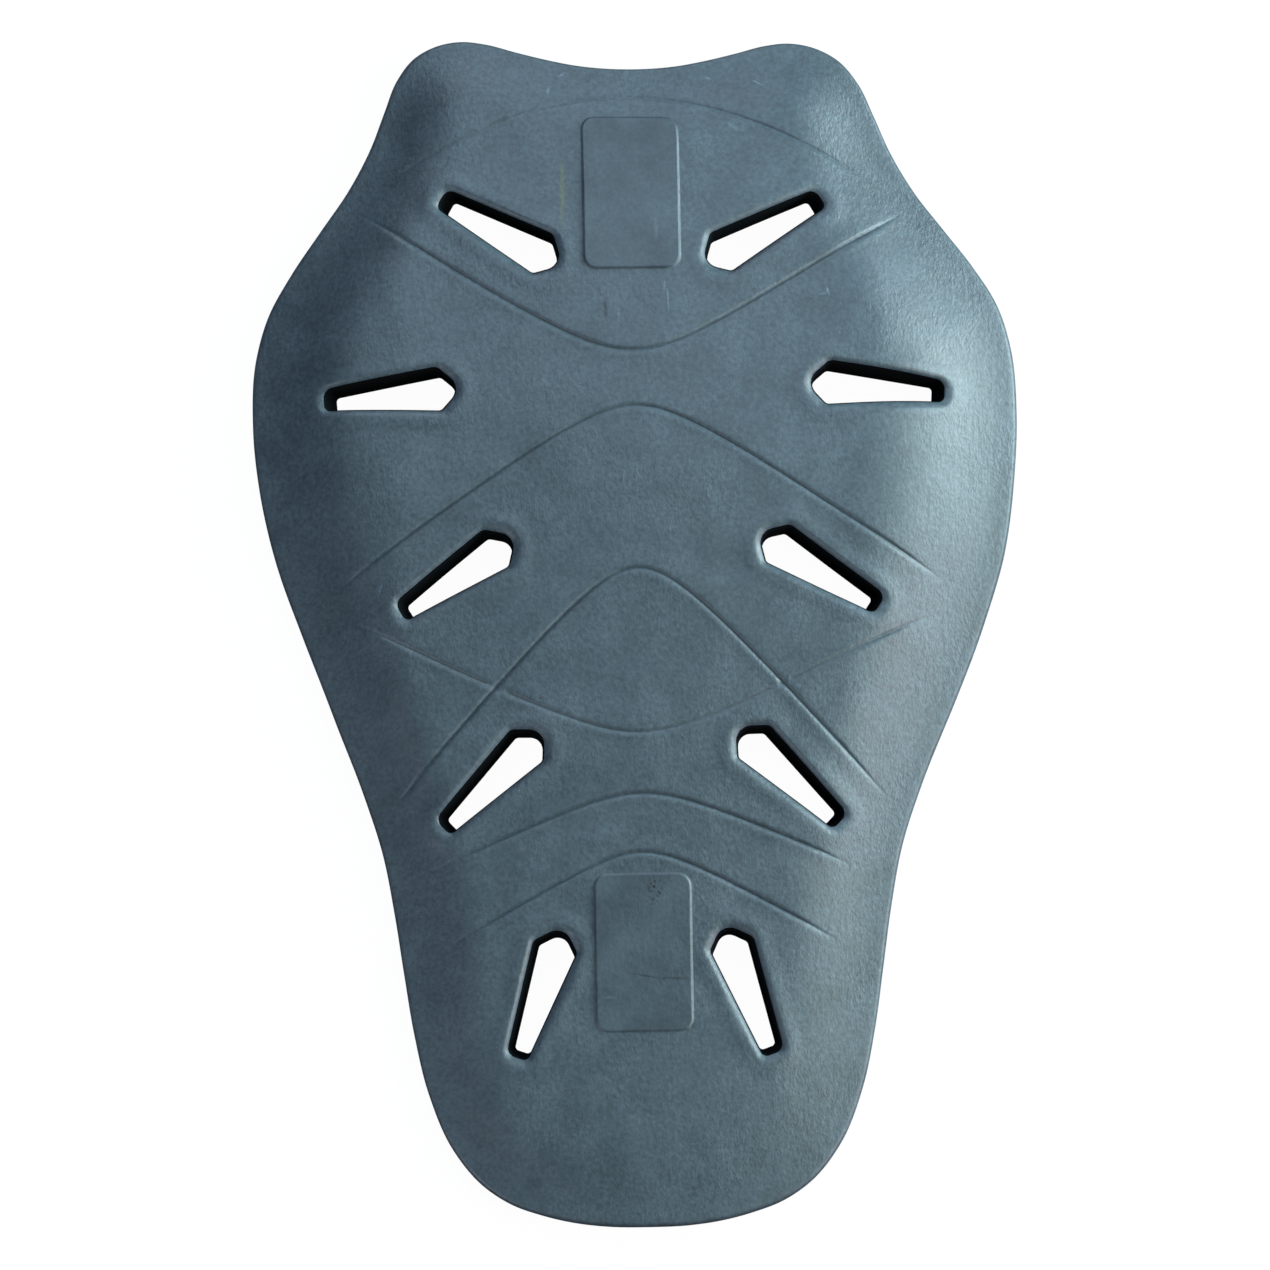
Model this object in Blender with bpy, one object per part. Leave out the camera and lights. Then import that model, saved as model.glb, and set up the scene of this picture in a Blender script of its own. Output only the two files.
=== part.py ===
"""Back protector pad, one piece of moulded soft foam that is worn flat against the back.

The pad is a shallow arch, thick in the middle and thin at its rim. Ten tapered vents go through it
in mirrored pairs, seven fine lines are pressed across its outer face, and two flat panels stand a
little proud of it on the middle line.

Frame: X is across the back, Y up the back with the neck notch at +Y, Z out of the outer face. The
pad lies on its inner face, with its lowest point at Z = 0 and its box centred on X = Y = 0.
"""

import math

import bmesh
import bpy
import numpy as np
from mathutils import Vector
from mathutils.geometry import delaunay_2d_cdt

# Whole pad
LENGTH = 0.435
WIDTH = 0.278
ARCH_RADIUS = 0.600
PAD_THICKNESS = 0.014

# Rim and the thin flange inside it
RIM_THICKNESS = 0.0045
RIM_ROUND = 0.0020
FLANGE_WIDTH = 0.012
FLANGE_THICKNESS = 0.0060
FLANGE_SOFTNESS = 0.0030

# Vents, which grow with the pad's width: the opening at the inner face, how much wider the walls
# are at the outer face on each side, the rounding of the two mouths, and how far the walls lean
# from upright (0) to square to the arch (1)
VENT_LENGTH = 0.1600 * WIDTH
VENT_WIDTH = 0.0486 * WIDTH
VENT_DRAFT = 0.0101 * WIDTH
VENT_MOUTH_ROUND = 0.0101 * WIDTH
VENT_BACK_ROUND = 0.0010
VENT_LEAN = 0.5

# Pressed lines: a V section that fades out over the last stretch at each end
LINE_WIDTH = 0.0014
LINE_DEPTH = 0.00045
LINE_FADE = 0.022
LINE_STEP = 0.0075

# Raised panels on the middle line; their width grows with the pad's
PANEL_WIDTH = 0.1277 * WIDTH
PANEL_LENGTH = 0.0575
PANEL_CORNER = 0.0050
PANEL_RAISE = 0.00035
PANEL_EDGE = 0.0007

# Spacing of the points that the two faces are drawn through
RIM_STEPS = 108
GRID_OUTER = 0.0115
GRID_INNER = 0.0165
CLEARANCE = 0.0032

HALF_LENGTH = LENGTH / 2
HALF_WIDTH = WIDTH / 2

# Right half of the outline, from the notch round to the middle of the lower edge.
# across: share of HALF_WIDTH; along: share of HALF_LENGTH; shoulder: how far inside the flange the
# pad comes up to its full thickness, as a share of HALF_WIDTH.
OUTLINE = (
    # across, along, shoulder
    (0.000, 0.952, 0.085),
    (0.131, 0.958, 0.085),
    (0.209, 0.968, 0.080),
    (0.288, 0.981, 0.070),
    (0.366, 0.995, 0.060),
    (0.431, 1.000, 0.060),
    (0.500, 0.992, 0.062),
    (0.557, 0.972, 0.070),
    (0.606, 0.933, 0.085),
    (0.641, 0.881, 0.110),
    (0.682, 0.817, 0.140),
    (0.741, 0.749, 0.170),
    (0.817, 0.682, 0.200),
    (0.894, 0.614, 0.225),
    (0.955, 0.547, 0.245),
    (0.987, 0.479, 0.255),
    (1.000, 0.361, 0.255),
    (0.988, 0.253, 0.250),
    (0.953, 0.128, 0.240),
    (0.892, 0.007, 0.225),
    (0.812, -0.128, 0.195),
    (0.729, -0.263, 0.160),
    (0.678, -0.365, 0.135),
    (0.648, -0.466, 0.120),
    (0.625, -0.567, 0.110),
    (0.601, -0.668, 0.105),
    (0.565, -0.770, 0.100),
    (0.505, -0.863, 0.100),
    (0.428, -0.925, 0.105),
    (0.353, -0.958, 0.110),
    (0.275, -0.977, 0.115),
    (0.196, -0.990, 0.120),
    (0.105, -0.998, 0.120),
    (0.000, -1.000, 0.120),
)

# Along the middle line. along: share of HALF_LENGTH; arch: height of the inner face as a share of
# the greatest; full: thickness as a share of PAD_THICKNESS.
SPINE = (
    # along, arch, full
    (1.00, 0.42, 0.70),
    (0.80, 0.53, 0.86),
    (0.60, 0.77, 0.97),
    (0.36, 1.00, 1.00),
    (0.00, 0.80, 1.00),
    (-0.30, 0.53, 0.95),
    (-0.60, 0.38, 0.76),
    (-0.80, 0.31, 0.66),
    (-1.00, 0.25, 0.56),
)

# Vents of the right side; each has a mirror image. across and along place the middle of the
# opening, as shares of HALF_WIDTH and HALF_LENGTH; turn is the way from its broad end to its tip.
VENTS = (
    # across, along, turn in degrees
    (0.326, 0.661, 30.0),
    (0.613, 0.397, -3.5),
    (0.455, 0.095, -32.0),
    (0.370, -0.245, -43.0),
    (0.263, -0.598, -70.0),
)

# Opening of a vent as a five-sided blade with a flat tip and a round nose, corner by corner.
# along: share of VENT_LENGTH from the tip; half: share of half of VENT_WIDTH; round: corner
# radius as a share of VENT_WIDTH; flare: of the edge after the corner, how much of the draft and
# of the mouth's rounding it takes.
VENT_BLADE = (
    # along, half, round, flare
    (0.000, 0.42, 0.11, 1.0),
    (0.865, 1.00, 0.14, 0.6),
    (1.020, 0.00, 0.26, 0.6),
    (0.865, -1.00, 0.14, 1.0),
    (0.000, -0.42, 0.11, 1.0),
)
VENT_MIDDLE = 0.54

# Lines pressed across the outer face, symmetric about the middle line. middle: share of
# HALF_LENGTH; rise: of the straight flanks, in shares of HALF_LENGTH per HALF_WIDTH; bend:
# rounding at the middle, and reach: where the line ends, as shares of HALF_WIDTH.
PRESSED_LINES = (
    # middle, rise, bend, reach
    (0.901, -0.5624, 0.675, 0.67),
    (0.462, 0.4282, 0.157, 0.73),
    (0.367, -0.4474, 0.146, 0.805),
    (0.094, -0.7286, 0.130, 0.66),
    (-0.180, 0.3195, 0.157, 0.78),
    (-0.281, -0.2844, 0.136, 0.555),
    (-0.379, -0.3649, 0.110, 0.52),
)

# Middles of the two panels, as shares of HALF_LENGTH
PANELS = (0.733, -0.547)

COLOUR = (0.105, 0.155, 0.190, 1.0)
ROUGHNESS = 0.55


def clear_scene():
    for obj in list(bpy.data.objects):
        bpy.data.objects.remove(obj, do_unlink=True)


def smooth_curve(knots, values, at):
    """Cubic Hermite curve through (knots, values), with the slope at each knot from its neighbours."""
    knots = np.asarray(knots, float)
    values = np.asarray(values, float)
    slopes = np.gradient(values, knots)
    at = np.clip(at, knots[0], knots[-1])
    low = np.clip(np.searchsorted(knots, at, side="right") - 1, 0, len(knots) - 2)
    step = knots[low + 1] - knots[low]
    t = (at - knots[low]) / step
    start = (1 + 2 * t) * (1 - t) ** 2 * values[low] + t * (1 - t) ** 2 * step * slopes[low]
    finish = t * t * (3 - 2 * t) * values[low + 1] - t * t * (1 - t) * step * slopes[low + 1]
    return start + finish


def spine_value(y, column):
    rows = sorted(SPINE)
    knots = [row[0] * HALF_LENGTH for row in rows]
    return smooth_curve(knots, [row[column] for row in rows], y)


def rim_curve(count):
    """Closed outline as evenly spaced points, and the shoulder width at each of them."""
    right = [(across * HALF_WIDTH, along * HALF_LENGTH, wide * HALF_WIDTH)
             for across, along, wide in OUTLINE]
    left = [(-x, y, wide) for x, y, wide in reversed(right[1:-1])]
    rows = np.array(right + left)
    wrapped = np.vstack([rows[-3:], rows, rows[:4]])
    chord = np.linalg.norm(np.diff(wrapped[:, :2], axis=0), axis=1)
    knots = np.concatenate([[0.0], np.cumsum(chord)])
    start, end = knots[3], knots[3 + len(rows)]
    fine = np.linspace(start, end, 24 * count, endpoint=False)
    dense = np.column_stack([smooth_curve(knots, wrapped[:, k], fine) for k in range(3)])
    closed = np.vstack([dense, dense[:1]])
    along = np.concatenate([[0.0], np.cumsum(np.linalg.norm(np.diff(closed[:, :2], axis=0), axis=1))])
    even = np.linspace(0.0, along[-1], count, endpoint=False)
    loop = np.column_stack([np.interp(even, along, closed[:, k]) for k in range(3)])
    loop[:, 0] *= HALF_WIDTH / loop[:, 0].max()
    top, bottom = loop[:, 1].max(), loop[:, 1].min()
    loop[:, 1] = (loop[:, 1] - bottom) / (top - bottom) * LENGTH - HALF_LENGTH
    return loop


def inward_normals(loop):
    """Unit normals that point into a loop which runs clockwise seen from +Z."""
    ahead = np.roll(loop, -1, axis=0) - np.roll(loop, 1, axis=0)
    ahead /= np.linalg.norm(ahead, axis=1)[:, None]
    return np.column_stack([ahead[:, 1], -ahead[:, 0]])


RIM = rim_curve(360)


def rim_distance(points):
    """Distance of each point to the outline, and the shoulder width at the nearest place on it."""
    starts = RIM[:, :2]
    runs = np.roll(starts, -1, axis=0) - starts
    lengths = (runs ** 2).sum(axis=1)
    to_point = points[:, None, :] - starts[None, :, :]
    share = np.clip((to_point * runs).sum(axis=2) / lengths, 0.0, 1.0)
    gap = np.linalg.norm(to_point - share[:, :, None] * runs, axis=2)
    nearest = gap.argmin(axis=1)
    t = share[np.arange(len(points)), nearest]
    wide = RIM[:, 2]
    return gap[np.arange(len(points)), nearest], (1 - t) * wide[nearest] + t * np.roll(wide, -1)[nearest]


def inner_height(points):
    """Inner face: a round arch across the back, whose middle line rises and falls along it."""
    greatest = HALF_WIDTH ** 2 / (2 * ARCH_RADIUS)
    return spine_value(points[:, 1], 1) * greatest - points[:, 0] ** 2 / (2 * ARCH_RADIUS)


def pad_thickness(points):
    """Rim, gently rising flange, then a shoulder that is steepest just inside the flange."""
    inside, shoulder = rim_distance(points)
    full = spine_value(points[:, 1], 2) * PAD_THICKNESS
    on_flange = np.clip(inside / FLANGE_WIDTH, 0.0, 1.0)
    flange = RIM_THICKNESS + (FLANGE_THICKNESS - RIM_THICKNESS) * on_flange
    past = inside - FLANGE_WIDTH
    past = (past + np.sqrt(past * past + FLANGE_SOFTNESS ** 2)) / 2
    climb = np.clip(past / shoulder, 0.0, 1.0) ** 0.7
    return flange + np.maximum(full - FLANGE_THICKNESS, 0.0) * climb * climb * (3 - 2 * climb)


def plain_outer_height(points):
    return inner_height(points) + pad_thickness(points)


def inside_rectangle(points, middle_y):
    """How far each point is inside a panel's outline with its round corners, negative outside."""
    reach = np.abs(points - np.array([0.0, middle_y]))
    corner = reach - np.array([PANEL_WIDTH / 2 - PANEL_CORNER, PANEL_LENGTH / 2 - PANEL_CORNER])
    outside = np.linalg.norm(np.maximum(corner, 0.0), axis=1)
    return PANEL_CORNER - outside - np.minimum(corner.max(axis=1), 0.0)


def panel_plane(middle_y):
    """A panel's flat top, as its height at the middle and its slope along Y."""
    half = PANEL_LENGTH / 2
    samples = np.array([[0.0, middle_y + share * half] for share in np.linspace(-1, 1, 9)])
    heights = plain_outer_height(samples)
    slope = np.polyfit(samples[:, 1] - middle_y, heights, 1)[0]
    over = heights - slope * (samples[:, 1] - middle_y)
    return over.max() + PANEL_RAISE, slope


def line_shape(row, x):
    """Y of a pressed line at x: two straight flanks joined by a round bend in the middle."""
    middle, rise, bend, _ = row
    share = x / HALF_WIDTH
    return HALF_LENGTH * (middle + rise * (np.sqrt(share ** 2 + bend ** 2) - bend))


def line_slope(row, x):
    """Slope of a pressed line at x."""
    _, rise, bend, _ = row
    share = x / HALF_WIDTH
    return HALF_LENGTH / HALF_WIDTH * rise * share / np.sqrt(share ** 2 + bend ** 2)


def line_depth(points):
    depth = np.zeros(len(points))
    for row in PRESSED_LINES:
        x = np.abs(points[:, 0])
        aside = np.abs(points[:, 1] - line_shape(row, x)) / np.sqrt(1 + line_slope(row, x) ** 2)
        fade = np.clip((row[3] * HALF_WIDTH - x) / LINE_FADE, 0.0, 1.0)
        depth = np.maximum(depth, LINE_DEPTH * fade * np.clip(1 - aside / (LINE_WIDTH / 2), 0.0, 1.0))
    return depth


def outer_height(points):
    """Outer face, with the panels raised out of it and the lines pressed into it."""
    height = plain_outer_height(points) - line_depth(points)
    for share in PANELS:
        middle_y = share * HALF_LENGTH
        top, slope = panel_plane(middle_y)
        blend = np.clip(inside_rectangle(points, middle_y) / PANEL_EDGE, 0.0, 1.0)
        height = (1 - blend) * height + blend * (top + slope * (points[:, 1] - middle_y))
    return height


def rounded_loop(corners, radii, arc_steps, edge_steps):
    """Closed loop through a polygon's corners, each rounded to its radius."""
    corners = [np.array(c, float) for c in corners]
    count = len(corners)
    arcs = []
    for k in range(count):
        before = corners[k - 1] - corners[k]
        after = corners[(k + 1) % count] - corners[k]
        before /= np.linalg.norm(before)
        after /= np.linalg.norm(after)
        half_angle = math.acos(np.clip(before @ after, -1, 1)) / 2
        reach = radii[k] / math.tan(half_angle)
        middle = (before + after) / np.linalg.norm(before + after) * radii[k] / math.sin(half_angle)
        first, last = before * reach - middle, after * reach - middle
        sweep = math.atan2(first[0] * last[1] - first[1] * last[0], first @ last)
        arc = []
        for i in range(arc_steps + 1):
            turn = sweep * i / arc_steps
            spin = np.array([[math.cos(turn), -math.sin(turn)], [math.sin(turn), math.cos(turn)]])
            arc.append(corners[k] + middle + spin @ first)
        arcs.append(arc)
    loop = []
    for k, arc in enumerate(arcs):
        loop += arc
        following = arcs[(k + 1) % count][0]
        loop += [arc[-1] + (following - arc[-1]) * i / edge_steps for i in range(1, edge_steps)]
    return np.array(loop)


def vent_loop(row, side, grow, sink):
    """A vent's opening, each edge moved out by its flare times grow. sink is the depth under the
    outer face: the walls lean with the arch, so the opening moves towards the middle line as it
    goes down."""
    across, along, turn = row
    blade = np.array(VENT_BLADE)
    outline = blade[:, :2] * (VENT_LENGTH, VENT_WIDTH / 2)
    trail_grow = blade[:, 3] * grow
    lead_grow = np.roll(trail_grow, 1)
    trail = np.roll(outline, -1, axis=0) - outline
    trail /= np.linalg.norm(trail, axis=1)[:, None]
    out_b = np.column_stack([-trail[:, 1], trail[:, 0]])
    out_a = np.roll(out_b, 1, axis=0)
    bend = (out_a * out_b).sum(axis=1)
    share_a = (lead_grow - trail_grow * bend) / (1 - bend * bend)
    share_b = (trail_grow - lead_grow * bend) / (1 - bend * bend)
    grown = outline + out_a * share_a[:, None] + out_b * share_b[:, None]
    radii = blade[:, 2] * VENT_WIDTH + (lead_grow + trail_grow) / 2
    loop = rounded_loop(grown, radii, 3, 3)
    loop[:, 0] = VENT_MIDDLE * VENT_LENGTH - loop[:, 0]
    angle = math.radians(turn)
    spin = np.array([[math.cos(angle), -math.sin(angle)], [math.sin(angle), math.cos(angle)]])
    centre_x, centre_y = across * HALF_WIDTH, along * HALF_LENGTH
    shift = sink * VENT_LEAN * centre_x / ARCH_RADIUS
    placed = loop @ spin.T + np.array([centre_x - shift, centre_y])
    placed[:, 0] *= side
    return placed[::-1] if side < 0 else placed


def vent_rings(row, side):
    """Loops down a vent's wall, from its mouth in the outer face to the inner face, with their heights."""
    centre = np.array([[row[0] * HALF_WIDTH, row[1] * HALF_LENGTH]])
    through = float(pad_thickness(centre)[0])
    rings = []
    for degrees in (0, 45, 90):
        angle = math.radians(degrees)
        drop = VENT_MOUTH_ROUND * (1 - math.cos(angle))
        loop = vent_loop(row, side, VENT_DRAFT + VENT_MOUTH_ROUND * (1 - math.sin(angle)), drop)
        rings.append((loop, plain_outer_height(loop) - drop))
    for grow, up in ((0.0, VENT_BACK_ROUND), (VENT_BACK_ROUND, 0.0)):
        loop = vent_loop(row, side, grow, through - up)
        rings.append((loop, inner_height(loop) + up))
    return rings


def rim_rings():
    """Loops round the rim's rounded edge, from the outer face to the inner face."""
    rim = rim_curve(RIM_STEPS)
    normals = inward_normals(rim[:, :2])
    rings = []
    for degrees in (0, 45, 90):
        angle = math.radians(degrees)
        loop = rim[:, :2] + normals * RIM_ROUND * (1 - math.sin(angle))
        rings.append((loop, plain_outer_height(loop) - RIM_ROUND * (1 - math.cos(angle))))
    for degrees in (90, 45, 0):
        angle = math.radians(degrees)
        loop = rim[:, :2] + normals * RIM_ROUND * (1 - math.sin(angle))
        rings.append((loop, inner_height(loop) + RIM_ROUND * (1 - math.cos(angle))))
    return rings


def shoulder_points():
    """Rows of points that follow the outline over the flange and the shoulder."""
    rim = rim_curve(RIM_STEPS)
    normals = inward_normals(rim[:, :2])
    rows = [rim[:, :2] + normals * FLANGE_WIDTH * share for share in (0.6, 1.0)]
    for share in (0.10, 0.30, 0.60, 1.0):
        rows.append(rim[:, :2] + normals * (FLANGE_WIDTH + rim[:, 2] * share)[:, None])
    return np.vstack(rows)


def grid_points(step):
    """Points of a triangular grid, symmetric about X = 0."""
    rows = []
    for j in range(-int(HALF_LENGTH / step * 1.2), int(HALF_LENGTH / step * 1.2) + 1):
        offset = 0.5 * (j % 2)
        columns = np.arange(-int(HALF_WIDTH / step) - 1, int(HALF_WIDTH / step) + 1) + offset
        rows.append(np.column_stack([columns * step, np.full(len(columns), j * step * math.sqrt(0.75))]))
    return np.vstack(rows)


def inside_loop(points, loop):
    """Even-odd test of points against a closed loop."""
    x, y = points[:, 0][:, None], points[:, 1][:, None]
    x0, y0 = loop[:, 0], loop[:, 1]
    x1, y1 = np.roll(x0, -1), np.roll(y0, -1)
    crosses = (y0 > y) != (y1 > y)
    rise = np.where(y1 == y0, 1.0, y1 - y0)
    return (crosses & (x < x0 + (y - y0) / rise * (x1 - x0))).sum(axis=1) % 2 == 1


def line_paths():
    """Middle and both edges of each pressed line, as open runs of points."""
    paths = []
    for row in PRESSED_LINES:
        reach = row[3] * HALF_WIDTH
        count = max(6, int(reach / LINE_STEP))
        right = reach * np.linspace(0.0, 1.0, count + 1)
        x = np.concatenate([-right[:0:-1], right])
        slope = line_slope(row, x)
        normal = np.column_stack([-slope, np.ones(len(x))]) / np.sqrt(1 + slope * slope)[:, None]
        middle = np.column_stack([x, line_shape(row, x)])
        paths.append(middle)
        for side in (-1, 1):
            edge = middle + normal * side * LINE_WIDTH / 2
            paths.append(edge[1:-1])
    return paths


def keep_away(points, others, gap):
    """The points that lie at least gap from all of the others."""
    nearest = np.full(len(points), np.inf)
    for start in range(0, len(others), 400):
        block = others[start:start + 400]
        nearest = np.minimum(nearest, np.linalg.norm(points[:, None] - block[None], axis=2).min(axis=1))
    return points[nearest >= gap]


def thin_out(points, gap):
    """Points with none closer than gap to one that is kept before it."""
    kept = []
    for point in points:
        if not kept or np.min(np.linalg.norm(np.array(kept) - point, axis=1)) >= gap:
            kept.append(point)
    return np.array(kept)


def add_face(bm, boundary, holes, closed, paths, loose, height, upward):
    """Triangulate one face of the pad between its boundary loops and lift it to its height. Gives
    back the vertices of the boundary and of each hole, in the order of their points."""
    points, edges, starts = [], [], []
    for loop in [boundary] + holes + closed:
        first = len(points)
        starts.append(first)
        points += [tuple(p) for p in loop]
        edges += [(first + k, first + (k + 1) % len(loop)) for k in range(len(loop))]
    for path in paths:
        first = len(points)
        points += [tuple(p) for p in path]
        edges += [(first + k, first + k + 1) for k in range(len(path) - 1)]
    points += [tuple(p) for p in loose]
    flat, _, faces, origins, _, _ = delaunay_2d_cdt([Vector(p) for p in points], edges, [], 0, 1e-7)
    flat = np.array([tuple(v) for v in flat])
    middles = np.array([flat[list(face)].mean(axis=0) for face in faces])
    keep = inside_loop(middles, boundary)
    for hole in holes:
        keep &= ~inside_loop(middles, hole)
    heights = height(flat)
    verts = [bm.verts.new((x, y, z)) for (x, y), z in zip(flat, heights)]
    for face, wanted in zip(faces, keep):
        if wanted:
            corners = [verts[k] for k in face]
            bm.faces.new(corners if upward else corners[::-1])
    home = {}
    for index, sources in enumerate(origins):
        for source in sources:
            home[source] = verts[index]
    loops = []
    for first, loop in zip(starts, [boundary] + holes):
        loops.append([home[first + k] for k in range(len(loop))])
    return loops


def add_wall(bm, top, rings, bottom):
    """Bridge a run of loops, from the vertices of the outer face down to those of the inner face."""
    middle = [[bm.verts.new((x, y, z)) for (x, y), z in zip(loop, heights)] for loop, heights in rings]
    levels = [top] + middle + [bottom]
    for upper, lower in zip(levels, levels[1:]):
        count = len(upper)
        for k in range(count):
            following = (k + 1) % count
            bm.faces.new((upper[k], upper[following], lower[following], lower[k]))


def panel_loops():
    loops = []
    for share in PANELS:
        for inset in (0.0, PANEL_EDGE):
            half_x, half_y = PANEL_WIDTH / 2 - inset, PANEL_LENGTH / 2 - inset
            corners = [(-half_x, -half_y), (half_x, -half_y), (half_x, half_y), (-half_x, half_y)]
            loop = rounded_loop(corners, [PANEL_CORNER - inset] * 4, 4, 3)
            loops.append(loop + np.array([0.0, share * HALF_LENGTH]))
    return loops


def build_pad():
    vents = [vent_rings(row, side) for row in VENTS for side in (1, -1)]
    rim = rim_rings()
    panels = panel_loops()
    lines = line_paths()

    mouths = [rings[0][0] for rings in vents]
    fixed = np.vstack([rim[0][0]] + mouths + panels + lines)
    loose = np.vstack([shoulder_points(), grid_points(GRID_OUTER)])
    loose = loose[inside_loop(loose, rim[0][0])]
    for loop in mouths + panels:
        loose = loose[~inside_loop(loose, loop)]
    loose = thin_out(keep_away(loose, fixed, CLEARANCE), GRID_OUTER * 0.42)

    backs = [rings[-1][0] for rings in vents]
    under = grid_points(GRID_INNER)
    under = under[inside_loop(under, rim[-1][0])]
    for loop in backs:
        under = under[~inside_loop(under, loop)]
    under = keep_away(under, np.vstack([rim[-1][0]] + backs), CLEARANCE * 1.5)

    bm = bmesh.new()
    tops = add_face(bm, rim[0][0], mouths, panels, lines, loose, outer_height, True)
    bottoms = add_face(bm, rim[-1][0], backs, [], [], under, inner_height, False)
    for top, rings, bottom in zip(tops, [rim] + vents, bottoms):
        add_wall(bm, top, rings[1:-1], bottom)
    loose_verts = [v for v in bm.verts if not v.link_faces]
    bmesh.ops.delete(bm, geom=loose_verts, context="VERTS")
    bmesh.ops.recalc_face_normals(bm, faces=bm.faces)
    floor = min(v.co.z for v in bm.verts)
    bmesh.ops.translate(bm, verts=bm.verts, vec=(0.0, 0.0, -floor))

    mesh = bpy.data.meshes.new("back_pad")
    bm.to_mesh(mesh)
    bm.free()
    return mesh


def foam_material():
    material = bpy.data.materials.new("foam")
    material.use_nodes = True
    shader = material.node_tree.nodes["Principled BSDF"]
    shader.inputs["Base Color"].default_value = COLOUR
    shader.inputs["Roughness"].default_value = ROUGHNESS
    shader.inputs["Metallic"].default_value = 0.0
    return material


def main():
    clear_scene()
    collection = bpy.data.collections.new("back_protector")
    bpy.context.scene.collection.children.link(collection)
    mesh = build_pad()
    mesh.materials.append(foam_material())
    mesh.shade_smooth()
    pad = bpy.data.objects.new("back_pad", mesh)
    collection.objects.link(pad)


main()
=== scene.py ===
"""Looks of the back protector pad: one fine mesh of moulded foam, with its skin, light and camera.

The pad's faces are heights worked out with numpy on a fine grid of points, over the outline, arch,
vents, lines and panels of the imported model. The shoulder, the mouths of the vents and the lines are
softer or stronger than there. The walls of the vents and of the rim are profiles carried round their
loops.
"""

import math

import bpy
import numpy as np
from mathutils import Matrix, Vector
from mathutils.geometry import delaunay_2d_cdt


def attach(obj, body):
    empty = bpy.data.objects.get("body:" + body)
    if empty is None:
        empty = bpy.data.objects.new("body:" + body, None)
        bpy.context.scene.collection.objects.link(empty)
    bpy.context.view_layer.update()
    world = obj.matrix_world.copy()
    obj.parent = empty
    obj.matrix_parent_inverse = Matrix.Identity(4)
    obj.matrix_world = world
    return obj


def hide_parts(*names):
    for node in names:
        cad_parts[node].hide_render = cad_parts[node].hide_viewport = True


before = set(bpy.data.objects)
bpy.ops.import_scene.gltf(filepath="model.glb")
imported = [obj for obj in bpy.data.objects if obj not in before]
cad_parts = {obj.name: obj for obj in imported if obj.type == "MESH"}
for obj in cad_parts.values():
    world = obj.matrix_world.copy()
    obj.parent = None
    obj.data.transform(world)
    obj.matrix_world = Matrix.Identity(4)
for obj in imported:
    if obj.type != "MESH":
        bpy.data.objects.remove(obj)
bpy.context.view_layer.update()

# Whole pad, in metres
LENGTH = 0.435
WIDTH = 0.278
HALF_LENGTH = LENGTH / 2
HALF_WIDTH = WIDTH / 2
ARCH_RADIUS = 0.600
PAD_THICKNESS = 0.014

# How much thicker the pad is at the distance SIDE_PLACE from the middle line
SIDE_SWELL = 0.0026
SIDE_PLACE = 0.085

# Rim, flange and shoulder: SHOULDER_CURVE is 1 for an even slope and more for one that is steepest at
# its foot, and LEFT_SHOULDER is the left shoulder's share of the right one's width
RIM_THICKNESS = 0.0045
RIM_ROUND = 0.0014
FLANGE_WIDTH = 0.012
FLANGE_THICKNESS = 0.0053
FLANGE_SOFTNESS = 0.0060
SHOULDER_CURVE = 1.45
LEFT_SHOULDER = 0.56

# Vents: the walls' dark material, which is painted shade, starts at the ring WALL_FROM and ends above the
# last WALL_BACK rings
VENT_LENGTH = 0.1600 * WIDTH
VENT_WIDTH = 0.0486 * WIDTH
VENT_DRAFT = 0.0101 * WIDTH
VENT_MOUTH_ROUND = 0.0101 * WIDTH
VENT_BACK_ROUND = 0.0010
VENT_LEAN = 0.5
LIP_HEIGHT = 0.00046
LIP_WIDTH = 0.0055
WALL_FROM = 5
WALL_BACK = 3

# Pressed lines and raised panels
LINE_DEPTH = 0.00095
LINE_HALF_WIDTH = 0.0009
LINE_SHARPNESS = 1.5
LINE_RIDGE = 0.00018
LINE_RIDGE_PLACE = 2.4 * LINE_HALF_WIDTH
LINE_RIDGE_WIDTH = 1.3 * LINE_HALF_WIDTH
LINE_FADE = 0.022
PANEL_WIDTH = 0.1277 * WIDTH
PANEL_LENGTH = 0.0575
PANEL_CORNER = 0.0050
PANEL_RAISE = 0.00035
PANEL_EDGE = 0.0007
PANEL_BLEND_START = 0.15 * PANEL_EDGE
PANEL_BLEND = 1.3 * PANEL_EDGE

# Size, height and seed of the moulding's two kinds of low waves, where they start inside the rim, and
# the share of them that the panels keep
WAVES = ((0.045, 0.00011, 3), (0.016, 0.00005, 5))
WAVE_COUNT = 8
WAVE_START = 0.02
PANEL_UNEVEN = 0.3

# Spacing of the mesh
OUTER_STEP = 0.00165
INNER_STEP = 0.0036
LINE_STEP = 0.0011
CLEARANCE = 0.6 * OUTER_STEP
LINE_OFFSETS = (-3.4, -2.5, -1.75, -1.2, -0.75, -0.35, 0.0, 0.35, 0.75, 1.25, 1.9)
LINE_CROSSING = 4.0 * LINE_HALF_WIDTH
PANEL_OFFSETS = (-0.6, -0.15, 0.2, 0.5, 0.8, 1.15, 1.6)
RIM_POINTS = 800
FIELD_POINTS = 1440
CURVE_POINTS = 12000
ARC_STEPS = 6
PANEL_ARC_STEPS = 8
PANEL_EDGE_STEPS = (24, 42, 24, 42)
MOUTH_STEPS = 8
WALL_STEPS = 6
RIM_STEPS = 6
NEAR_VENT = 0.05

# Grid on which the thickness is softened
SOFT_STEP = 0.004
SOFT_COLUMNS = 38
SOFT_ROWS = 58
SOFT_PASSES = 3
SOFT_REACH = 0.014

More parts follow.
